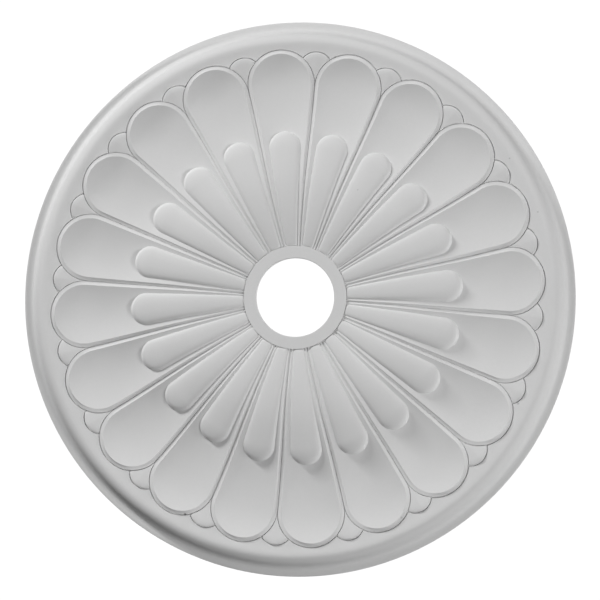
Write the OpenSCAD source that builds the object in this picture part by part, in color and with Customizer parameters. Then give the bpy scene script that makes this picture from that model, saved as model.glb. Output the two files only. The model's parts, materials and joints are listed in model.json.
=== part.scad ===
// Ceiling rose in one moulded piece: a ring round the cable hole, a crown of petals, each with
// a dart lying in it, small tongues between the petal tips, and an ogee rim.
// It is drawn as it hangs: the flat back is at z = 0 and the ornament faces down.

/* [Disc] */
// Outside diameter
disc_d = 680; // [560:5:860]
// How far the highest ornament stands off the ceiling
projection = 35; // [32:0.2:46]
// Thickness of the outer edge
edge_h = 4.2; // [2:0.2:8]

/* [Centre] */
// Diameter of the hole at the front
bore_d = 96; // [60:1:100]
// Depth of the straight part of the hole, behind the ring's face
bore_lip = 8; // [4:0.5:16]
// How much wider the hole is at the back, on each side
bore_flare = 10; // [4:0.5:14]
// Width of the flat ring that a canopy sits on
ring_w = 15; // [13:0.5:24]
// How far the face of the ring stays behind the highest ornament
ring_setback = 7.6; // [2:0.2:10]

/* [Petals] */
// Number of petals, darts and tongues
petals = 20; // [16:1:24]
// Distance from the middle to the highest point of the crown
peak_r = 128; // [110:1:145]
// How far the petal edges stay behind the ring's face, at the ring
ring_step = 1.7; // [1:0.1:3]
// Distance from the middle to the lowest part of the petals
low_r = 243; // [225:1:258]
// Height of the petal edges above the back in that part
low_h = 18; // [16:0.1:24]
// Rise of a petal from there to its tip
tip_rise = 5; // [0:0.1:7]
// Depth of the hollow in a petal, where it is widest
hollow = 5.4; // [2:0.1:7]
// Depth of the same hollow at the ring
hollow_in = 1.8; // [1:0.1:3]
// Width of the sloping band outside a petal's edge, at the tip
band_w = 5; // [3:0.1:7]
// Width of the same band at the ring
band_w_in = 1.8; // [1.2:0.1:2.4]
// Depth of the groove between two petals, where they are widest
groove = 2.8; // [1:0.1:4]
// Depth of the same groove at the ring
groove_in = 1.3; // [0.6:0.1:2]

/* [Darts] */
// Distance from the tip of a dart to the tip of its petal
dart_gap = 100; // [70:1:120]
// Angle from the side of a dart to the groove beside its petal
dart_margin = 2.95; // [2.6:0.05:4]
// Height of a dart above the hollow at its nose
dart_rise = 7; // [3:0.1:8]
// Height of a dart above the hollow at the ring
dart_rise_in = 3; // [1.5:0.1:3.5]
// How far a dart falls from its ridge to its edge at the nose
dart_crown = 3.3; // [1.5:0.1:4]

/* [Tongues] */
// How far a tongue's tip stays inside the petal tips
tongue_inset = 2.6; // [1:0.1:6]
// Radius of a tongue's rounded end
tongue_r = 21; // [16:0.5:26]
// Height of a tongue's tip above the back
tongue_h = 22.5; // [18:0.1:26]
// How far a tongue falls from its ridge to its sides
tongue_crown = 1; // [0.4:0.1:2.5]

/* [Rim] */
// Width of the rim from its crest to the outer edge
rim_w = 27; // [20:0.5:40]
// Height of the rim's crest above the back
rim_h = 21.6; // [16:0.1:26]
// Gap between the petal tips and the rim's crest
rim_gap = 8.3; // [7:0.1:14]
// Depth of the crevice at the petal tips, below the rim's crest
crevice = 1.5; // [0.5:0.1:3]
// Width of the flat flange at the outer edge
flange_w = 8; // [4:0.5:12]
// Rise of the flange towards the middle
flange_rise = 0.6; // [0.3:0.1:3]
// Share of the ogee's height in its upper, rounded part
ogee_share = 0.56; // [0.4:0.01:0.7]
// Share of the ogee's width in the same part
ogee_width = 0.67; // [0.5:0.01:0.8]
// Angle short of upright at which the rounded part passes into the cove
ogee_lean = 19; // [5:1:40]
// Angle at which the cove takes over
cove_lean = 40; // [20:1:60]

/* [Hidden] */
$fn = 180;

// Distances from the middle
disc_r = disc_d / 2;
bore_r = bore_d / 2;
ring_r = bore_r + ring_w;
crest_r = disc_r - rim_w;
tip_r = crest_r - rim_gap;

// The petals touch where they are widest, and each ends in a half circle there.
half = 180 / petals;
waist_r = tip_r / (1 + sin(half));
end_r = waist_r * sin(half);
bowl_r = end_r - band_w;
tongue_tip_r = tip_r - tongue_inset;
tongue_mid_r = tongue_tip_r - tongue_r;

// A dart is a wedge with a round nose.
dart_half = half - dart_margin;
dart_tip_r = tip_r - dart_gap;
nose_r = dart_tip_r / (1 + sin(dart_half));
nose_w = nose_r * sin(dart_half);

function mix(a, b, t) = a + (b - a) * t;
function clamp(t) = max(0, min(1, t));
// Share of the way from the ring to where the petals are widest
function out(r) = clamp((r - ring_r) / (waist_r - ring_r));
// A half wave that falls from 1 to 0
function wave(t) = (1 + cos(180 * clamp(t))) / 2;
function hollow_d(r) = mix(hollow_in, hollow, out(r));
function groove_d(r) = mix(groove_in, groove, out(r));
function dart_h(r) = mix(dart_rise_in, dart_rise, clamp((r - ring_r) / (nose_r - ring_r)));

// Heights above the back; the darts are the highest ornament, at the crown
ring_h = projection - ring_setback;
edge_ring_h = ring_h - ring_step;
edge_peak_h = projection - dart_h(peak_r) + hollow_d(peak_r);
crevice_h = rim_h - crevice;

// Height of a petal's edge: up from the ring to the crown, then down to its lowest part
function edge_z(r) =
    r < peak_r
    ? mix(edge_peak_h, edge_ring_h, pow((peak_r - r) / (peak_r - ring_r), 2))
    : mix(low_h, edge_peak_h, wave((r - peak_r) / (low_r - peak_r)));
function floor_z(r) = edge_z(r) - hollow_d(r);
// Rise of the whole petal beyond its lowest part
function lift(r, a) = tip_rise * pow(clamp((r * cos(a) - low_r) / (waist_r + bowl_r - low_r)), 2);
// Angle from a petal's centreline to its edge
function edge_a(r) = half - asin(mix(band_w_in, band_w, out(r)) / r);
// Where a line at angle a leaves a circle of radius c whose middle is at m on the centreline
function reach(m, c, a) = m * cos(a) + sqrt(max(0, c * c - pow(m * sin(a), 2)));
// Distance from that circle's middle, as a share of its radius
function round_u(r, a, m, c) = norm([r * cos(a) - m, r * sin(a)]) / c;

// A dart is highest on its ridge, and the share u runs from there to its side, where it is
// steepest.
dart_round = 2.5;
function dart_u(r, a) = r <= nose_r ? a / dart_half : round_u(r, a, nose_r, nose_w);
function dart_z(r, a) =
    floor_z(r) + dart_h(r) - dart_crown * min(r, nose_r) / nose_r * pow(dart_u(r, a), dart_round);

// The hollow of a petal is a trough that ends in a round bowl.
function bowl_u(r, a) = r <= waist_r ? a / edge_a(r) : round_u(r, a, waist_r, bowl_r);
function hollow_z(r, a) =
    floor_z(min(r, waist_r)) + hollow_d(r) * pow(bowl_u(r, a), 2) + lift(r, a);

// Tongue: a low ridge that rises from between the petals to its rounded end
function tongue_out(r) = clamp((r - waist_r) / (tongue_tip_r - waist_r));
function tongue_z(r, a) =
    mix(low_h + lift(waist_r, half) - groove, tongue_h, tongue_out(r))
    - tongue_crown * tongue_out(r) * pow((half - a) / (half * tongue_share), 2);

// Each half petal is cut at six angles: four across the dart or the hollow, the petal's edge
// and the groove.
edge_i = 4;
groove_i = 5;
dart_spread = [0, 0.55, 0.94];
dart_foot = 1.02;
bowl_spread = [0, 0.26, 0.5, 0.72];

// Shares of the way at which rows are cut: ring to crown, crown to nose, nose to its end,
// dart to waist, and on to the end of the bowl
ring_cuts = [0.5, 1];
crown_cuts = [0.36, 0.62, 0.85, 1];
nose_cuts = [0.6, 0.97];
waist_cuts = [0.35, 0.7];
bowl_cuts = [0.5, 0.8, 1];
tongue_cuts = [0.55, 1];

// The crown is sunk into the exact turned base, and under its ring and rim.
base_h = 8;
sink = 1;
tuck = 3;
inner_r = ring_r - tuck;
wall_r = crest_r - tuck;
// The crown's outer edge is buried this share of the way from the wall to the crest.
buried = 0.8;
outer_r = wall_r + tuck * buried;
lip_drop = 0.25;
lip_gap = 0.3;
// Narrow ledges at the foot of a nose, a petal's tip and a tongue's end
ledge = 0.5;
crevice_w = 1.5;
// A tongue shows where it stands out this far past the petals.
tongue_min = crevice_w / 2;
// Cuts just inside a petal's edge, and just short of where two petals touch
edge_share = 0.98;
touch_share = 0.955;
// A tongue falls by its crown over this share of half a petal's angle.
tongue_share = 1 / 3;

function rib(r) = [
    [r, edge_a(r), edge_z(r) + lift(r, edge_a(r))],
    [r, half, edge_z(r) + lift(r, half) - groove_d(r)]
];
function dart_row(r) = concat(
    [for (s = dart_spread) [r, s * dart_half, dart_z(r, s * dart_half)]],
    [[r, dart_foot * dart_half, hollow_z(r, dart_foot * dart_half)]],
    rib(r)
);

// Rows of the nose follow its round end.
function nose_reach(a, t) = mix(nose_r, reach(nose_r, nose_w, a), t);
function nose_row(t) =
    let (side_r = nose_reach(dart_spread[2] * dart_half, t))
    concat(
        [for (s = dart_spread) let (a = s * dart_half, r = nose_reach(a, t)) [r, a, dart_z(r, a)]],
        [[side_r, dart_foot * dart_half, hollow_z(side_r, dart_foot * dart_half)]],
        rib(side_r)
    );
nose_foot = let (a2 = dart_spread[2] * dart_half, r2 = nose_reach(a2, 1) + ledge) concat(
    [for (s = dart_spread)
        let (a = s * dart_half, r = nose_reach(a, 1) + ledge) [r, a, hollow_z(r, a)]],
    [[r2, a2 + ledge, hollow_z(r2, a2 + ledge)]],
    rib(r2)
);

function bowl_row(r) =
    concat([for (s = bowl_spread) [r, s * edge_a(r), hollow_z(r, s * edge_a(r))]], rib(r));

// Outer rows follow the petals' round ends, all cut at the same angles.
waist_a = edge_a(waist_r);
end_a = concat([for (s = bowl_spread) s * waist_a], [edge_share * waist_a, half]);
last_r = mix(dart_tip_r, waist_r, waist_cuts[1]);
function bowl_reach(a) = a > waist_a ? waist_r : reach(waist_r, bowl_r, a);
function foot_reach(a) = reach(waist_r, end_r, min(a, half * touch_share));
function tongue_reach(a) = reach(tongue_mid_r, tongue_r, half - a);
function has_tongue(a) = tongue_reach(a) > foot_reach(a) + tongue_min;

function end_z(r, i) =
    i == groove_i ? edge_z(r) + lift(r, half) - groove
    : i == edge_i ? edge_z(r) + lift(r, end_a[i])
    : hollow_z(r, end_a[i]);
function end_row(t) = [for (i = [0:groove_i])
    let (r = mix(last_r, bowl_reach(end_a[i]), t)) [r, end_a[i], end_z(r, i)]];
foot_row = [for (a = end_a)
    let (r = foot_reach(a)) [r, a, has_tongue(a) ? tongue_z(r, a) : crevice_h]];
function tongue_row(t) = [for (a = end_a)
    let (r = mix(foot_reach(a), has_tongue(a) ? tongue_reach(a) : foot_reach(a) + ledge, t))
        [r, a, has_tongue(a) ? tongue_z(r, a) : crevice_h]];
crevice_row = [for (a = end_a)
    let (r = has_tongue(a) ? tongue_reach(a) + 2 * ledge : foot_reach(a) + crevice_w)
        [r, a, crevice_h]];
lip_row = [for (a = end_a) [wall_r - lip_gap, a, rim_h - 2 * lip_drop]];
buried_row = [for (a = end_a) [outer_r, a, crevice_h - sink]];

half_rows = concat(
    [dart_row(inner_r)],
    [for (t = ring_cuts) dart_row(mix(ring_r, peak_r, t))],
    [for (t = crown_cuts) dart_row(mix(peak_r, nose_r, t))],
    [for (t = nose_cuts) nose_row(t)],
    [nose_foot],
    [for (t = waist_cuts) bowl_row(mix(dart_tip_r, waist_r, t))],
    [for (t = bowl_cuts) end_row(t)],
    [foot_row],
    [for (t = tongue_cuts) tongue_row(t)],
    [crevice_row, lip_row, buried_row]
);

// A whole row goes once round the disc: each petal is a half row, mirrored and whole.
function place(p, turn, side) =
    [p[0] * cos(turn + side * p[1]), p[0] * sin(turn + side * p[1]), p[2]];
function full_row(row) =
    [for (k = [0:petals - 1], i = [-groove_i:groove_i - 1])
        place(row[abs(i)], k * 2 * half, sign(i))];

module crown() {
    count = petals * 2 * groove_i;
    tops = [for (row = half_rows) full_row(row)];
    floor_h = base_h - sink;
    feet = [for (row = [tops[0], tops[len(tops) - 1]]) [for (p = row) [p[0], p[1], floor_h]]];
    rings = concat([feet[0]], tops, [feet[1]]);
    last = len(rings) - 1;
    points = [for (ring = rings) for (p = ring) p];
    faces = [
        for (j = [0:last], i = [0:count - 1])
            let (
                n = (i + 1) % count,
                here = j * count,
                next = (j == last ? 0 : j + 1) * count
            )
            each [[here + i, here + n, next + i], [here + n, next + n, next + i]]
    ];
    polyhedron(points = points, faces = faces, convexity = 10);
}

// The rim falls from its crest in a rounded ogee to the flange.
rim_foot_r = disc_r - flange_w;
rim_foot_h = edge_h + flange_rise;
round_h = (rim_h - rim_foot_h) * ogee_share;
round_w = (rim_foot_r - crest_r) * ogee_width;
cove_h = rim_h - rim_foot_h - round_h;
cove_w = rim_foot_r - crest_r - round_w;
ogee_steps = 8;
// Share of an arc's width and height that is left at angle a, for an arc that starts at lean
function arc_w(a, lean) = cos(a) / cos(lean);
function arc_h(a, lean) = (1 - sin(a)) / (1 - sin(lean));
ogee = concat(
    [for (i = [0:ogee_steps])
        let (a = mix(90, ogee_lean, i / ogee_steps))
        [crest_r + round_w * arc_w(a, ogee_lean), rim_h - round_h * arc_h(a, ogee_lean)]],
    [for (i = [1:ogee_steps])
        let (a = mix(cove_lean, 90, i / ogee_steps))
        [rim_foot_r - cove_w * arc_w(a, cove_lean), rim_foot_h + cove_h * arc_h(a, cove_lean)]]
);

module turned() {
    rotate_extrude() polygon(concat(
        [[bore_r + bore_flare, 0], [disc_r, 0], [disc_r, edge_h]],
        [for (i = [len(ogee) - 1:-1:0]) ogee[i]],
        [[wall_r, rim_h - lip_drop], [wall_r, base_h], [ring_r, base_h], [ring_r, ring_h]],
        [[bore_r, ring_h], [bore_r, ring_h - bore_lip]]
    ));
}

module ceiling_rose() {
    color("gainsboro") rotate([180, 0, 0]) union() {
        turned();
        crown();
    }
}

ceiling_rose();
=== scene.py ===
import json
import math

import bmesh
import bpy
import numpy as np
from mathutils import Matrix, Vector


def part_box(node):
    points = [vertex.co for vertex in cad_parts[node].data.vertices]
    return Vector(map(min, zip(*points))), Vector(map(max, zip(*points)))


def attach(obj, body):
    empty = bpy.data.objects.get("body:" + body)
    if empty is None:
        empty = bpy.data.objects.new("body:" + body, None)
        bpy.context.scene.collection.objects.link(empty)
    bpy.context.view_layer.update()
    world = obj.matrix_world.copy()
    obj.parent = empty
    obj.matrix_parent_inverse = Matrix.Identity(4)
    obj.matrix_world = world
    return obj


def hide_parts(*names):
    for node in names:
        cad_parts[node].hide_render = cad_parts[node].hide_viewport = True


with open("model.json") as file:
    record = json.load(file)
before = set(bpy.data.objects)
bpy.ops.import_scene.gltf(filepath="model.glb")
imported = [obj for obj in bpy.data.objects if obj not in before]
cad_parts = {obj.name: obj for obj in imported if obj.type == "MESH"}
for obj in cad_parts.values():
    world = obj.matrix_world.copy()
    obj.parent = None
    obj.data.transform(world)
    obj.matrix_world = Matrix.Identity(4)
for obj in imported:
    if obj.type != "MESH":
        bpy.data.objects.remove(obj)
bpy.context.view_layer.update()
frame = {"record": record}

# ---------------------------------------------------------------------------
# Sizes, in mm. The rose is worked out face up (x, y in its plane, z towards the
# viewer) and turned over at the end, so that it hangs as the CAD model does.
# ---------------------------------------------------------------------------
MM = 0.001
BOX_LO, BOX_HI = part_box("ceiling_rose")
DISC_R = (BOX_HI[0] - BOX_LO[0]) / 2 / MM
PROJECTION = (BOX_HI[2] - BOX_LO[2]) / MM

# The hole and the ring round it
HOLE = next(m for m in frame["record"]["mounts"] if m["name"] == "cable_hole")
BORE_R = HOLE["dims"]["r_mm"]
BORE_LIP = HOLE["dims"]["length_mm"]
BORE_FLARE = 10
RING_W = 15
RING_SETBACK = 7.6
RING_R = BORE_R + RING_W
RING_H = PROJECTION - RING_SETBACK
RING_SOFT = 0.35
RING_GAP_W = 0.5
RING_GAP_D = 0.5

# The rim
RIM_W = 27
CREST_R = DISC_R - RIM_W
RIM_H = 21.6
RIM_DIP = 1.7
RIM_DIP_W = 7
CREVICE, CREVICE_W = 2.4, 0.9
FLANGE_W = 8
EDGE_H = 4.2
FLANGE_RISE = 0.6

# Petals: they touch where they are widest and end in half circles
PETALS = 20
RIM_GAP = 8.3
HALF = math.pi / PETALS
TIP_R = CREST_R - RIM_GAP
WAIST_R = TIP_R / (1 + math.sin(HALF))
END_R = WAIST_R * math.sin(HALF)
TOUCH_R = WAIST_R * math.cos(HALF)
BAND_W, BAND_W_IN = 5, 1.8
BOWL_R = END_R - BAND_W
PEAK_R = 128
LOW_R = 243
RING_STEP = 1.7
EDGE_RING_H = RING_H - RING_STEP
LOW_H = 18.0
TIP_RISE = 5.0
HOLLOW, HOLLOW_IN = 5.4, 1.8
GROOVE, GROOVE_IN = 2.8, 1.3
SLOT_D, SLOT_D_IN = 1.2, 0.5
SLOT_W, SLOT_W_IN = 0.6, 0.3
BAND_POWER = 2.0
BAND_STEP, BAND_STEP_IN = 0.5, 0.3

# Darts
DART_MARGIN = math.radians(2.95)
DART_GAP = 100
DART_HALF = HALF - DART_MARGIN
DART_TIP_R = TIP_R - DART_GAP
NOSE_R = DART_TIP_R / (1 + math.sin(DART_HALF))
NOSE_W = NOSE_R * math.sin(DART_HALF)
SIDE_END_R = NOSE_R * math.cos(DART_HALF)
DART_RISE, DART_RISE_IN = 7.0, 3.0
DART_CROWN = 3.3
DART_ROUND = 2.5
SHOULDER, SHOULDER_IN = 3.0, 1.0

# Tongues
TONGUE_INSET = 2.6
TONGUE_TIP_R = TIP_R - TONGUE_INSET
TONGUE_R = 21
TONGUE_MID_R = TONGUE_TIP_R - TONGUE_R
TONGUE_H = 22.5
TONGUE_SLOPE = 0.07
KEEL_W = 0.8
TONGUE_BEVEL_W = 1.7
TONGUE_BEVEL_H = 0.8


def mix(a, b, t):
    return a + (b - a) * t


def clamp(t):
    return np.clip(t, 0.0, 1.0)


def smooth(t):
    t = clamp(t)
    return t * t * (3 - 2 * t)


def direction(angle):
    return np.stack([np.cos(angle), np.sin(angle)], axis=-1)


# ---------------------------------------------------------------------------
# Heights. r is the distance from the middle and a the angle from the petal's centreline.
# ---------------------------------------------------------------------------
def out(r):
    """Share of the way from the ring to where the petals are widest."""
    return clamp((r - RING_R) / (WAIST_R - RING_R))


def dart_height(r):
    return mix(DART_RISE_IN, DART_RISE, clamp((r - RING_R) / (NOSE_R - RING_R)))


def hollow_depth(r):
    return mix(HOLLOW_IN, HOLLOW, out(r))


EDGE_PEAK_H = PROJECTION - dart_height(PEAK_R) + hollow_depth(PEAK_R)


def edge_height(r):
    inner = mix(EDGE_PEAK_H, EDGE_RING_H, ((PEAK_R - r) / (PEAK_R - RING_R)) ** 2)
    fall = clamp((r - PEAK_R) / (LOW_R - PEAK_R))
    outer = mix(LOW_H, EDGE_PEAK_H, (1 + np.cos(math.pi * fall)) / 2)
    return np.where(r < PEAK_R, inner, outer)


def floor_height(r):
    return edge_height(r) - hollow_depth(r)


def band_width(r):
    return mix(BAND_W_IN, BAND_W, out(r))


def polar(p):
    return np.hypot(p[..., 0], p[..., 1]), np.arctan2(p[..., 1], p[..., 0])


def tip_lift(p):
    return TIP_RISE * clamp((p[..., 0] - LOW_R) / (WAIST_R + BOWL_R - LOW_R)) ** 2


def hollow_height(p):
    r, a = polar(p)
    edge_a = HALF - np.arcsin(band_width(r) / r)
    end_u = np.hypot(p[..., 0] - WAIST_R, p[..., 1]) / BOWL_R
    u = np.where(r <= WAIST_R, a / edge_a, end_u)
    return floor_height(np.minimum(r, WAIST_R)) + hollow_depth(r) * u**2 + tip_lift(p)


def dart_top(p):
    r, a = polar(p)
    nose_u = np.hypot(p[..., 0] - NOSE_R, p[..., 1]) / NOSE_W
    u = np.where(r <= NOSE_R, a / DART_HALF, nose_u)
    fall = DART_CROWN * np.minimum(r, NOSE_R) / NOSE_R * u**DART_ROUND
    return floor_height(r) + dart_height(r) - fall


SPLIT = direction(np.array(HALF))  # the line between two petals
ACROSS = np.array([-SPLIT[1], SPLIT[0]])
TONGUE_MID = TONGUE_MID_R * SPLIT
TONGUE_FOOT_H = float(hollow_height(TOUCH_R * SPLIT - BAND_W * ACROSS)) - GROOVE
TONGUE_GAIN = (TONGUE_H - TONGUE_FOOT_H) / (TONGUE_TIP_R - TOUCH_R)


def tongue_height(p):
    along = p @ SPLIT
    side = p @ ACROSS
    keel = np.sqrt(side**2 + KEEL_W**2) - KEEL_W
    return TONGUE_FOOT_H + TONGUE_GAIN * np.maximum(along - TOUCH_R, 0) - TONGUE_SLOPE * keel


def ground_height(r):
    """Inner slope of the rim."""
    return RIM_H - RIM_DIP * (1 - np.exp(-(np.maximum(CREST_R - r, 0) / RIM_DIP_W) ** 2))


# ---------------------------------------------------------------------------
# One half petal, cut in rows that run out from the ridge of the dart. The first rows cross
# the petal; the rest turn round the dart's nose and the petal's end.
# ---------------------------------------------------------------------------
RIDGE_SPANS = np.array([0, 0.28, 0.54, 0.78, 1])
SHOULDER_SPANS = np.array([0.72, 0.46, 0.26, 0.12, 0.04, 0])
DART_FOOT = 0.2
HOLLOW_SPANS = np.array([0.06, 0.14, 0.25, 0.38, 0.52, 0.66, 0.79, 0.89, 0.955])
BAND_SPANS = np.array([0.08, 0.3, 0.62])
ARRIS_SOFT, ARRIS_SHARE = 0.35, 0.03
SLOT_KNEE = 0.6


def crown_row(ridge, side, normal, shoulder, arris, inward, width, base, step, slot_w, slot_d):
    """Points from the dart's ridge to the foot of the band outside the petal's edge."""
    top = mix(ridge, side - normal * shoulder, RIDGE_SPANS[:, None])
    wall = side - normal * shoulder * SHOULDER_SPANS[:, None]
    foot = side + normal * DART_FOOT
    span = arris - foot
    length = np.linalg.norm(span)
    shares = np.concatenate([[0], HOLLOW_SPANS, [1 - min(ARRIS_SOFT / length, ARRIS_SHARE)]])
    hollow = foot + span * shares[:, None]
    depth = np.append(width * (1 - np.append(0, BAND_SPANS)), [slot_w, SLOT_KNEE * slot_w, 0])
    band = arris - inward * (width - depth)[:, None]
    xy = np.concatenate([top, wall, hollow, band])
    z = hollow_height(xy)
    n_top, n_wall = len(top), len(wall)
    z[:n_top] = dart_top(top)
    wall_h = dart_top(side) - hollow_height(side)
    z[n_top:n_top + n_wall] = dart_top(wall) - wall_h * (1 - SHOULDER_SPANS)
    edge = hollow_height(arris)
    s = (width - depth) / (width - slot_w)
    fall = edge - (edge - base - step) * (1 - clamp(1 - s) ** BAND_POWER)
    z[-len(depth):] = fall
    z[-2:] = mix(base, base - slot_d, np.array([SLOT_KNEE, 1]))
    return np.concatenate([xy, z[:, None]], axis=1)


def shoulder_width(r):
    return mix(SHOULDER_IN, SHOULDER, clamp((r - RING_R) / (SIDE_END_R - RING_R)))


def long_edge(rho):
    """The petal's straight edge: its arris, and the band and slot outside it."""
    width = band_width(rho)
    arris = rho * SPLIT - width * ACROSS
    base = float(hollow_height(arris)) - mix(GROOVE_IN, GROOVE, out(rho))
    return (
        arris, -ACROSS, width, base, mix(BAND_STEP_IN, BAND_STEP, out(rho)),
        mix(SLOT_W_IN, SLOT_W, out(rho)), mix(SLOT_D_IN, SLOT_D, out(rho)),
    )


def straight_row(rho, skew):
    """A row across the straight part; skew turns it square to the dart's side."""
    ridge = np.array([rho * mix(1, 1 / math.cos(DART_HALF), skew), 0.0])
    side = rho * direction(np.array(DART_HALF))
    normal = np.array([-math.sin(DART_HALF), math.cos(DART_HALF)])
    return crown_row(ridge, side, normal, shoulder_width(rho), *long_edge(rho))


# The rounded end meets the tongue's end at this angle round the petal's own centre.
GAP = np.linalg.norm(TONGUE_MID - [WAIST_R, 0])
MEET = (
    math.atan2(TONGUE_MID[1], TONGUE_MID[0] - WAIST_R)
    - math.acos((GAP**2 + END_R**2 - TONGUE_R**2) / (2 * GAP * END_R))
)
TOUCH = math.pi / 2 + HALF
CORNER = np.array([WAIST_R, 0]) + END_R * direction(np.array(MEET))
CORNER_FOOT_H = ground_height(np.linalg.norm(CORNER)) - CREVICE
CORNER_SLOT_D = float(tongue_height(CORNER)) - CORNER_FOOT_H


def end_base(psi):
    """Height beside the petal's rounded end, and the depth of the crevice there."""
    p = np.array([WAIST_R, 0]) + END_R * direction(np.array(psi))
    if psi >= MEET:
        return float(tongue_height(p)), mix(CORNER_SLOT_D, SLOT_D, (psi - MEET) / (TOUCH - MEET))
    return float(ground_height(np.linalg.norm(p))), CREVICE


SIDE_ROWS = 13
NOTCH_ROWS = 15
TIP_ROWS = 12
TONGUE_ROWS = 9


def fan_rows():
    """Rows round the nose, matched to the petal's edge by the way travelled along both."""
    side_way = TOUCH_R - SIDE_END_R
    end_way = BOWL_R * TOUCH
    whole = side_way + end_way
    stops = [("side", side_way * k / SIDE_ROWS) for k in range(1, SIDE_ROWS)]
    stops += [("end", TOUCH - (TOUCH - MEET) * k / NOTCH_ROWS) for k in range(NOTCH_ROWS)]
    stops += [("end", MEET * (1 - k / TIP_ROWS)) for k in range(TIP_ROWS + 1)]
    rows = []
    for kind, value in stops:
        way = value if kind == "side" else side_way + (TOUCH - value) * BOWL_R
        turn = (math.pi / 2 + DART_HALF) * (1 - way / whole)
        normal = direction(np.array(turn))
        ridge = np.array([NOSE_R, 0.0])
        side = ridge + NOSE_W * normal
        if kind == "side":
            rho = SIDE_END_R + value
            rows.append(crown_row(ridge, side, normal, shoulder_width(rho), *long_edge(rho)))
        else:
            outward = direction(np.array(value))
            arris = np.array([WAIST_R, 0]) + BOWL_R * outward
            base, slot_d = end_base(value)
            rows.append(crown_row(
                ridge, side, normal, SHOULDER, arris, -outward, END_R - BOWL_R, base,
                BAND_STEP, SLOT_W, slot_d,
            ))
    return rows


RING_END_R = RING_R + RING_GAP_W
DART_END_W = 3.0
DART_END_CORNER = 2.6
DART_END_DROP = 0.3
DART_END_FROM = 0.6
RING_ROWS = np.array([0, 0.25, 0.8, 1.5, 2.4, 3.4, 4.6])


def ring_end(row):
    """Rounds the darts' inner ends, which stop just short of the ring."""
    r, a = polar(row)
    corner = clamp((a / DART_HALF - DART_END_FROM) / (1 - DART_END_FROM))
    start = RING_END_R + DART_END_CORNER * (1 - np.sqrt(1 - corner**2))
    rise = np.sqrt(1 - (1 - clamp((r - start) / DART_END_W)) ** 2)
    rise = mix(1, rise, mix(DART_END_DROP, 1, corner))
    low = hollow_height(row)
    row[:, 2] = np.where(row[:, 2] > low, mix(low, row[:, 2], rise), row[:, 2])
    return row


STRAIGHT_R = np.array([70, 73.5, 78, 84, 92, 101, 110, 119, 128, 137, 146, 155, 164, 173, 181])


def half_petal():
    rows = [ring_end(straight_row(RING_END_R + step, 0.0)) for step in RING_ROWS]
    start = RING_END_R + RING_ROWS[-1]
    radii = np.append(STRAIGHT_R, SIDE_END_R)
    rows += [straight_row(r, (r - start) / (SIDE_END_R - start)) for r in radii]
    rows += fan_rows()
    return np.array(rows)


TONGUE_FADE = 0.16
TONGUE_CORNER_BEVEL = 0.6
LEAST_TURN = 0.3


def half_tongue():
    """The tongue between two petals, as rays from the middle of its rounded end."""
    columns = []
    for k in range(NOTCH_ROWS + 1):
        psi = TOUCH - (TOUCH - MEET) * k / NOTCH_ROWS
        outward = direction(np.array(psi))
        p = np.array([WAIST_R, 0]) + END_R * outward
        base, slot_d = end_base(psi)
        to_mid = TONGUE_MID - p
        length = np.linalg.norm(to_mid)
        turn = max(float(to_mid @ outward) / length, LEAST_TURN)
        fade = float(smooth((MEET + TONGUE_FADE - psi) / TONGUE_FADE))
        bevel = fade * TONGUE_BEVEL_H * TONGUE_CORNER_BEVEL
        columns.append(tongue_column(p, base - slot_d, SLOT_W / turn, bevel))
    arc_from = math.atan2(*(CORNER - TONGUE_MID)[::-1])
    for k in range(1, TONGUE_ROWS + 1):
        angle = mix(arc_from, HALF, k / TONGUE_ROWS)
        p = TONGUE_MID + TONGUE_R * direction(np.array(angle))
        bevel = mix(TONGUE_CORNER_BEVEL, 1, min(k / 2, 1)) * TONGUE_BEVEL_H
        bottom = float(ground_height(np.linalg.norm(p))) - CREVICE
        columns.append(tongue_column(p, bottom, SLOT_W, bevel))
    return np.array(columns)


TONGUE_SHARES = np.array([0.3, 0.62, 1.0])


def tongue_column(p, bottom, wall, bevel):
    length = np.linalg.norm(TONGUE_MID - p)
    inward = (TONGUE_MID - p) / length
    steps = [0, wall, wall + TONGUE_BEVEL_W / 2, wall + TONGUE_BEVEL_W]
    steps = np.array(steps + list(mix(steps[-1], length, TONGUE_SHARES)))
    xy = p + inward * steps[:, None]
    z = tongue_height(xy)
    z -= bevel * clamp(1 - (steps - wall) / TONGUE_BEVEL_W)
    z[0] = bottom
    return np.concatenate([xy, z[:, None]], axis=1)


GROUND_STEPS = np.array([0, 0.4, 0.9, 1.7])
GROUND_SHARES = np.array([0.35, 0.7, 1.0])


def half_ground():
    """The rim's inner slope, from the crevice round petals and tongues to the crest."""
    points, normals = [], []
    for k in range(TIP_ROWS + 1):
        normal = direction(np.array(MEET * k / TIP_ROWS))
        points.append(np.array([WAIST_R, 0]) + END_R * normal)
        normals.append(normal)
    arc_from = math.atan2(*(CORNER - TONGUE_MID)[::-1])
    corner = normals[-1] + direction(np.array(arc_from))
    normals[-1] = corner / (corner @ normals[-1])
    for k in range(1, TONGUE_ROWS + 1):
        normal = direction(np.array(mix(arc_from, HALF, k / TONGUE_ROWS)))
        points.append(TONGUE_MID + TONGUE_R * normal)
        normals.append(normal)
    columns = []
    for p, n in zip(points, normals):
        near = p + n * GROUND_STEPS[:, None]
        last = near[-1]
        a = math.atan2(last[1], last[0])
        far = mix(last, CREST_R * direction(np.array(a)), GROUND_SHARES[:, None])
        xy = np.concatenate([near, far])
        z = ground_height(np.hypot(xy[:, 0], xy[:, 1]))
        z[:len(near)] -= CREVICE * (1 - smooth(GROUND_STEPS / CREVICE_W))
        columns.append(np.concatenate([xy, z[:, None]], axis=1))
    return np.array(columns)


# ---------------------------------------------------------------------------
# The whole rose as one closed mesh
# ---------------------------------------------------------------------------
bm = bmesh.new()


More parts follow.
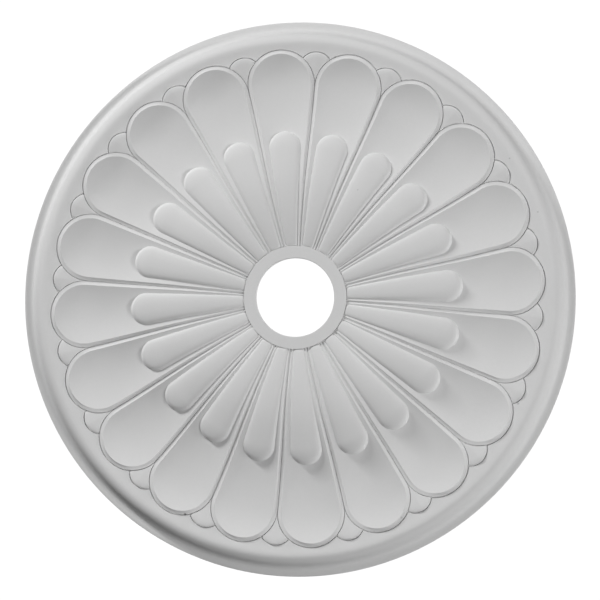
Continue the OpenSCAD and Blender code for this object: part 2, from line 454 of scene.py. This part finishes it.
def add_grid(points):
    """A sheet of quads over a grid of points."""
    rows, cols = points.shape[:2]
    verts = [[bm.verts.new(p) for p in row] for row in points]
    for i in range(rows - 1):
        for j in range(cols - 1):
            bm.faces.new((verts[i][j], verts[i][j + 1], verts[i + 1][j + 1], verts[i + 1][j]))


def add_sectors(half):
    for k in range(PETALS):
        for side in (1, -1):
            turn = 2 * HALF * k
            x, y = half[..., 0], side * half[..., 1]
            turned = np.stack([
                x * math.cos(turn) - y * math.sin(turn),
                x * math.sin(turn) + y * math.cos(turn),
                half[..., 2],
            ], axis=-1)
            add_grid(turned)


def circle(r, z, count):
    a = np.arange(count) * 2 * math.pi / count
    return np.stack([r * np.cos(a), r * np.sin(a), np.full(count, z)], axis=-1)


def closed(loop):
    return np.concatenate([loop, loop[:1]])


def add_lathe(profile, count):
    """A turned surface through (r, z) points."""
    add_grid(np.array([closed(circle(r, z, count)) for r, z in profile]))


def add_zip(first, second):
    """Triangles between two closed loops with different numbers of points."""
    loops = []
    for loop in (first, second):
        a = np.arctan2(loop[:, 1], loop[:, 0]) % (2 * math.pi)
        a[a > 2 * math.pi - 1e-6] = 0
        order = np.argsort(a, kind="stable")
        angles = np.append(a[order], a[order][0] + 2 * math.pi)
        loops.append(([bm.verts.new(loop[i]) for i in order], angles))
    (va, aa), (vb, ab) = loops
    i = j = 0
    while i < len(va) or j < len(vb):
        if j == len(vb) or (i < len(va) and aa[i + 1] <= ab[j + 1]):
            bm.faces.new((va[i], va[(i + 1) % len(va)], vb[j % len(vb)]))
            i += 1
        else:
            bm.faces.new((vb[j], vb[(j + 1) % len(vb)], va[i % len(va)]))
            j += 1


def ring_of(half_line):
    """The closed loop that a half petal's line makes when it goes round the rose."""
    r, a = polar(half_line)
    last = len(a) - 1
    order = [(i, -1) for i in range(last - 1, 0, -1)] + [(i, 1) for i in range(last + 1)]
    turns = [(i, 2 * HALF * k + side * a[i]) for k in range(PETALS) for i, side in order]
    return np.array([(r[i] * math.cos(t), r[i] * math.sin(t), half_line[i, 2]) for i, t in turns])


petal = half_petal()
ground = half_ground()
add_sectors(petal)
add_sectors(half_tongue())
add_sectors(ground)

# The ring's wall stands in a narrow gap and follows the crown's columns.
foot = petal[0].copy()
foot_a = polar(foot)[1]


def ring_line(r, z):
    heights = np.broadcast_to(z, foot_a.shape)
    return np.stack([r * np.cos(foot_a), r * np.sin(foot_a), heights], axis=-1)


gap_z = foot[:, 2] - RING_GAP_D
ring_edge = ring_line(RING_R - 0.3 * RING_SOFT, RING_H - 0.1 * RING_SOFT)
add_sectors(np.array([
    ring_edge, ring_line(RING_R, RING_H - RING_SOFT), ring_line(RING_R, gap_z),
    ring_line(RING_END_R - 0.1, gap_z), foot,
]))
RIM_SEGMENTS = 400
BORE_SEGMENTS = 200
RING_FACE_R = RING_R - 2 * RING_SOFT
add_zip(ring_of(ring_edge), circle(RING_FACE_R, RING_H, BORE_SEGMENTS))
LIP_SOFT = 0.7
LIP_END = 0.3  # the straight part stops this far before the flare
BACK_R = BORE_R + BORE_FLARE
BACK_SOFT = 0.4
LIP_FOOT = RING_H - BORE_LIP
lip = [(BORE_R + LIP_SOFT * (1 - math.sin(t)), RING_H - LIP_SOFT * (1 - math.cos(t)))
       for t in np.radians([0, 22.5, 45, 67.5, 90])]
flare = [(mix(BORE_R, BACK_R, t), mix(LIP_FOOT, 0, t)) for t in (0.25, 0.5, 0.75, 0.98)]
add_lathe(
    [(RING_FACE_R, RING_H), (RING_R - 2, RING_H), ((RING_R + BORE_R) / 2, RING_H),
     (BORE_R + LIP_SOFT + 1, RING_H)]
    + lip
    + [(BORE_R, RING_H - BORE_LIP / 2), (BORE_R, LIP_FOOT + LIP_END),
       (BORE_R + 0.1, LIP_FOOT - 0.4)]
    + flare
    + [(BACK_R + BACK_SOFT, 0.0)],
    BORE_SEGMENTS,
)

# The rim: a rounded upper part and a cove below it, then the flange and the edge
FOOT_R = DISC_R - FLANGE_W
FOOT_H = EDGE_H + FLANGE_RISE
OGEE_WIDTH, OGEE_SHARE = 0.67, 0.56  # shares of the ogee in its rounded part
ROUND_W = (FOOT_R - CREST_R) * OGEE_WIDTH
ROUND_H = (RIM_H - FOOT_H) * OGEE_SHARE
ROUND_TO = math.radians(19)
COVE_FROM, COVE_TO = math.radians(40), math.radians(80)
COVE_W = FOOT_R - CREST_R - ROUND_W
COVE_H = RIM_H - FOOT_H - ROUND_H
rim = []
for a in np.linspace(math.pi / 2, ROUND_TO, 12):
    rim.append((
        CREST_R + ROUND_W * math.cos(a) / math.cos(ROUND_TO),
        RIM_H - ROUND_H * (1 - math.sin(a)) / (1 - math.sin(ROUND_TO)),
    ))
COVE_RUN = math.cos(COVE_FROM) - math.cos(COVE_TO)
COVE_DROP = math.sin(COVE_TO) - math.sin(COVE_FROM)
for a in np.linspace(COVE_FROM, COVE_TO, 8)[1:]:
    rim.append((
        FOOT_R - COVE_W * (math.cos(a) - math.cos(COVE_TO)) / COVE_RUN,
        FOOT_H + COVE_H * (math.sin(COVE_TO) - math.sin(a)) / COVE_DROP,
    ))
EDGE_SOFT = 0.5
rim += [
    (mix(FOOT_R, DISC_R, 0.5), mix(FOOT_H, EDGE_H, 0.5)),
    (DISC_R - EDGE_SOFT * 2, EDGE_H + 0.2),
]
rim += [(DISC_R - EDGE_SOFT * (1 - math.sin(t)), EDGE_H - EDGE_SOFT * (1 - math.cos(t)))
        for t in np.radians([0, 30, 60, 90])]
rim += [(DISC_R, EDGE_H / 2), (DISC_R, EDGE_SOFT), (DISC_R - EDGE_SOFT, 0.0), (DISC_R - 2, 0.0)]
add_zip(ring_of(ground[:, -1]), circle(*rim[1], RIM_SEGMENTS))
add_lathe(rim[1:], RIM_SEGMENTS)
add_zip(circle(*rim[-1], RIM_SEGMENTS), circle(BACK_R + BACK_SOFT, 0.0, BORE_SEGMENTS))

WELD = 0.003
SLIVER = 1e-5
hang = Matrix.Rotation(math.pi, 4, "X") @ Matrix.Scale(MM, 4)
bmesh.ops.remove_doubles(bm, verts=bm.verts, dist=WELD)
bmesh.ops.dissolve_degenerate(bm, edges=bm.edges, dist=SLIVER)
bmesh.ops.transform(bm, matrix=hang, verts=bm.verts)
bmesh.ops.recalc_face_normals(bm, faces=bm.faces)
mesh = bpy.data.meshes.new("ceiling_rose_moulding")
bm.to_mesh(mesh)
bm.free()
for face in mesh.polygons:
    face.use_smooth = True
SHARP = math.radians(50)
mesh.set_sharp_from_angle(angle=SHARP)
rose = bpy.data.objects.new("ceiling_rose_moulding", mesh)
bpy.context.collection.objects.link(rose)


# ---------------------------------------------------------------------------
# Material: matt white primer, a little uneven, on polyurethane foam
# ---------------------------------------------------------------------------
# Small marks in the primer, and one dark spot of painted shade for a pit at a petal tip that the
# mesh does not have: angle and distance from the middle, size in mm, and shade
MARKS = {
    "speck_at_the_rim": (28.6, 310.4, 1.3, 0.58),
    "speck_by_the_tongue": (15.0, 312.4, 1.3, 0.62),
    "speck_in_a_petal": (55.1, 151.4, 1.2, 0.66),
    # painted shade: a dark spot standing in for the shade inside a pit, which is not built in the
    # mesh
    "pit_at_a_petal_tip": (-121.3, 296.9, 2.0, 0.3),
    "nick_at_a_petal_tip": (-68.2, 297.1, 1.8, 0.62),
    "rough_patch_on_a_tongue": (-29.6, 300.0, 2.2, 0.6),
}
BACK_DEPTH = 0.4 * MM  # the unprimed back is told from the rest by its height
BUMP_DEPTH = 0.4 * MM


def primer():
    material = bpy.data.materials.new("primed_white")
    material.use_nodes = True
    nodes, links = material.node_tree.nodes, material.node_tree.links
    shader = nodes["Principled BSDF"]
    shader.inputs["Specular IOR Level"].default_value = 0.25
    coords = nodes.new("ShaderNodeTexCoord").outputs["Object"]

    def clouds(scale, detail, roughness=0.5):
        tex = nodes.new("ShaderNodeTexNoise")
        tex.inputs["Scale"].default_value = scale
        tex.inputs["Detail"].default_value = detail
        tex.inputs["Roughness"].default_value = roughness
        links.new(coords, tex.inputs["Vector"])
        return tex.outputs["Fac"]

    def spread(value, low, high, to_low=0.0, to_high=1.0):
        node = nodes.new("ShaderNodeMapRange")
        limits = {"From Min": low, "From Max": high, "To Min": to_low, "To Max": to_high}
        for name, number in limits.items():
            node.inputs[name].default_value = number
        links.new(value, node.inputs["Value"])
        return node.outputs["Result"]

    def blend(share, first, second):
        """Mixes two colours; each is a socket or a constant."""
        node = nodes.new("ShaderNodeMix")
        node.data_type = "RGBA"
        links.new(share, node.inputs[0])
        for socket, colour in ((node.inputs[6], first), (node.inputs[7], second)):
            if isinstance(colour, tuple):
                socket.default_value = (*colour, 1)
            else:
                links.new(colour, socket)
        return node.outputs[2]

    def maths(operation, first, second):
        node = nodes.new("ShaderNodeMath")
        node.operation = operation
        links.new(first, node.inputs[0])
        if isinstance(second, float):
            node.inputs[1].default_value = second
        else:
            links.new(second, node.inputs[1])
        return node.outputs["Value"]

    colour = blend(spread(clouds(9, 4), 0.3, 0.7), (0.79, 0.79, 0.788), (0.81, 0.81, 0.81))
    grain = spread(clouds(260, 3, 0.7), 0.35, 0.75)
    colour = blend(maths("MULTIPLY", grain, 0.5), colour, (0.775, 0.775, 0.773))

    # Marks lie on the front only, with ragged edges; the pit's dark spot among them is painted
    # shade.
    flat = nodes.new("ShaderNodeVectorMath")
    flat.operation = "MULTIPLY"
    flat.inputs[1].default_value = (1, 1, 0)
    links.new(coords, flat.inputs[0])
    ragged = spread(clouds(1500, 2), 0.3, 0.7, -0.4 * MM, 0.4 * MM)
    for angle, distance, size, shade in MARKS.values():
        a = math.radians(angle)
        away = nodes.new("ShaderNodeVectorMath")
        away.operation = "DISTANCE"
        away.inputs[1].default_value = Vector((math.cos(a), -math.sin(a), 0)) * distance * MM
        links.new(flat.outputs["Vector"], away.inputs[0])
        near = spread(maths("ADD", away.outputs["Value"], ragged), size * MM, 0.4 * size * MM)
        colour = blend(near, colour, (shade, shade, shade))

    # The back is bare foam, sanded flat.
    height = nodes.new("ShaderNodeSeparateXYZ")
    links.new(coords, height.inputs[0])
    back = spread(height.outputs["Z"], -BACK_DEPTH, -BACK_DEPTH / 2)
    foam = blend(spread(clouds(70, 6, 0.7), 0.35, 0.65), (0.60, 0.56, 0.49), (0.70, 0.67, 0.60))
    links.new(blend(back, colour, foam), shader.inputs["Base Color"])

    rough = spread(clouds(60, 3), 0.3, 0.7, 0.64, 0.78)
    links.new(maths("ADD", rough, maths("MULTIPLY", back, 0.15)), shader.inputs["Roughness"])
    bump = nodes.new("ShaderNodeBump")
    bump.inputs["Strength"].default_value = 0.25
    bump.inputs["Distance"].default_value = BUMP_DEPTH
    links.new(clouds(900, 4, 0.6), bump.inputs["Height"])
    links.new(bump.outputs["Normal"], shader.inputs["Normal"])
    return material


mesh.materials.append(primer())
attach(rose, "root")
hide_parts("ceiling_rose")

# ---------------------------------------------------------------------------
# Studio: a pale floor far below, a long key strip at the upper left of the picture, two strips
# at its right, a broad weak light in front, and soft light from above for the hidden side
# ---------------------------------------------------------------------------
ROLL = math.radians(4)
RIGHT = Vector((math.cos(ROLL), -math.sin(ROLL), 0))
UP = Vector((math.sin(ROLL), math.cos(ROLL), 0))
TOWARDS = Vector((0, 0, 1))


def hung(v):
    """From the face-up frame to the hanging rose."""
    return Vector((v.x, -v.y, -v.z))


def aim(obj, at, up=Vector((0, 0, 1))):
    back = (obj.location - at).normalized()
    side = up.cross(back).normalized()
    rise = back.cross(side)
    obj.rotation_mode = "QUATERNION"
    obj.rotation_quaternion = Matrix((side, rise, back)).transposed().to_quaternion()


MIDDLE = Vector((0, 0, -PROJECTION / 2 * MM))


def towards(angle, elevation):
    """Direction seen in the picture at an angle, anticlockwise from its right side."""
    a, e = math.radians(angle), math.radians(elevation)
    return hung((RIGHT * math.cos(a) + UP * math.sin(a)) * math.cos(e) + TOWARDS * math.sin(e))


def strip(name, low, high, width, power, distance=5.0):
    """A long softbox whose ends are seen in the directions low and high."""
    ends = [MIDDLE + towards(*end) * distance for end in (low, high)]
    data = bpy.data.lights.new(name, "AREA")
    data.shape = "RECTANGLE"
    data.size, data.size_y = width, (ends[1] - ends[0]).length
    data.energy = power
    lamp = bpy.data.objects.new(name, data)
    bpy.context.collection.objects.link(lamp)
    lamp.location = (ends[0] + ends[1]) / 2
    aim(lamp, MIDDLE, (ends[1] - ends[0]).normalized())


# Name, the directions of both ends (angle, elevation), width in m, and power
LIGHTS = [
    ("key", (134, 12), (129, 26), 0.3, 190),
    ("right", (-5, 32), (-24, 42), 0.35, 96),
    ("right_low", (-4, 16), (-24, 8), 0.5, 34),
    ("front", (255, 58), (165, 88), 3.0, 29),
]
for row in LIGHTS:
    strip(*row)

# Soft light from straight above, for the rose's back and the floor
ABOVE_STRENGTH = 2.4
ABOVE_SPREAD = math.radians(70)
above_data = bpy.data.lights.new("above", "SUN")
above_data.energy = ABOVE_STRENGTH
above_data.angle = ABOVE_SPREAD
above = bpy.data.objects.new("above", above_data)
bpy.context.collection.objects.link(above)

world = bpy.data.worlds.new("studio")
bpy.context.scene.world = world
world.use_nodes = True
wn, wl = world.node_tree.nodes, world.node_tree.links
backdrop = wn["Background"]
AMBIENT, BACKDROP = 0.1, 1.05
path = wn.new("ShaderNodeLightPath")
strength = wn.new("ShaderNodeMapRange")
strength.inputs["To Min"].default_value = AMBIENT
strength.inputs["To Max"].default_value = BACKDROP
wl.new(path.outputs["Is Camera Ray"], strength.inputs["Value"])
wl.new(strength.outputs["Result"], backdrop.inputs["Strength"])
backdrop.inputs["Color"].default_value = (1, 1, 1, 1)

FLOOR_Z = -4.6
FLOOR_HALF = 60.0
ends = ((-1, -1), (1, -1), (1, 1), (-1, 1))
corners = [(x * FLOOR_HALF, y * FLOOR_HALF, FLOOR_Z) for x, y in ends]
floor_mesh = bpy.data.meshes.new("floor")
floor_mesh.from_pydata(corners, [], [(0, 1, 2, 3)])
floor = bpy.data.objects.new("floor", floor_mesh)
bpy.context.collection.objects.link(floor)
floor.visible_diffuse = floor.visible_glossy = False  # it sends no light up to the rose
floor_paint = bpy.data.materials.new("floor_paint")
floor_paint.use_nodes = True
paint = floor_paint.node_tree.nodes["Principled BSDF"]
paint.inputs["Base Color"].default_value = (0.8, 0.8, 0.8, 1)
paint.inputs["Roughness"].default_value = 0.9
floor_mesh.materials.append(floor_paint)

# ---------------------------------------------------------------------------
# Camera: straight below, a little to the right of the rose and lower in the picture
# ---------------------------------------------------------------------------
CAMERA_D = 4.0
TILT_RIGHT, TILT_UP = math.radians(7.39), math.radians(-3.09)
AIM_RIGHT, AIM_UP = 2.7 * MM, -1.8 * MM
FOCAL_RATIO = 0.8158 * CAMERA_D / MM / 300  # focal length over half the picture's width
eye = RIGHT * math.sin(TILT_RIGHT) + UP * math.sin(TILT_UP)
eye += TOWARDS * math.sqrt(1 - eye.length_squared)
camera_data = bpy.data.cameras.new("camera")
camera_data.sensor_width = 36
camera_data.lens = camera_data.sensor_width / 2 * FOCAL_RATIO
camera_data.clip_start, camera_data.clip_end = 0.1, 50
camera = bpy.data.objects.new("camera", camera_data)
bpy.context.collection.objects.link(camera)
camera.location = hung(eye * CAMERA_D)
aim(camera, hung(RIGHT * AIM_RIGHT + UP * AIM_UP), hung(UP))
bpy.context.scene.camera = camera
bpy.context.scene.view_settings.view_transform = "Standard"
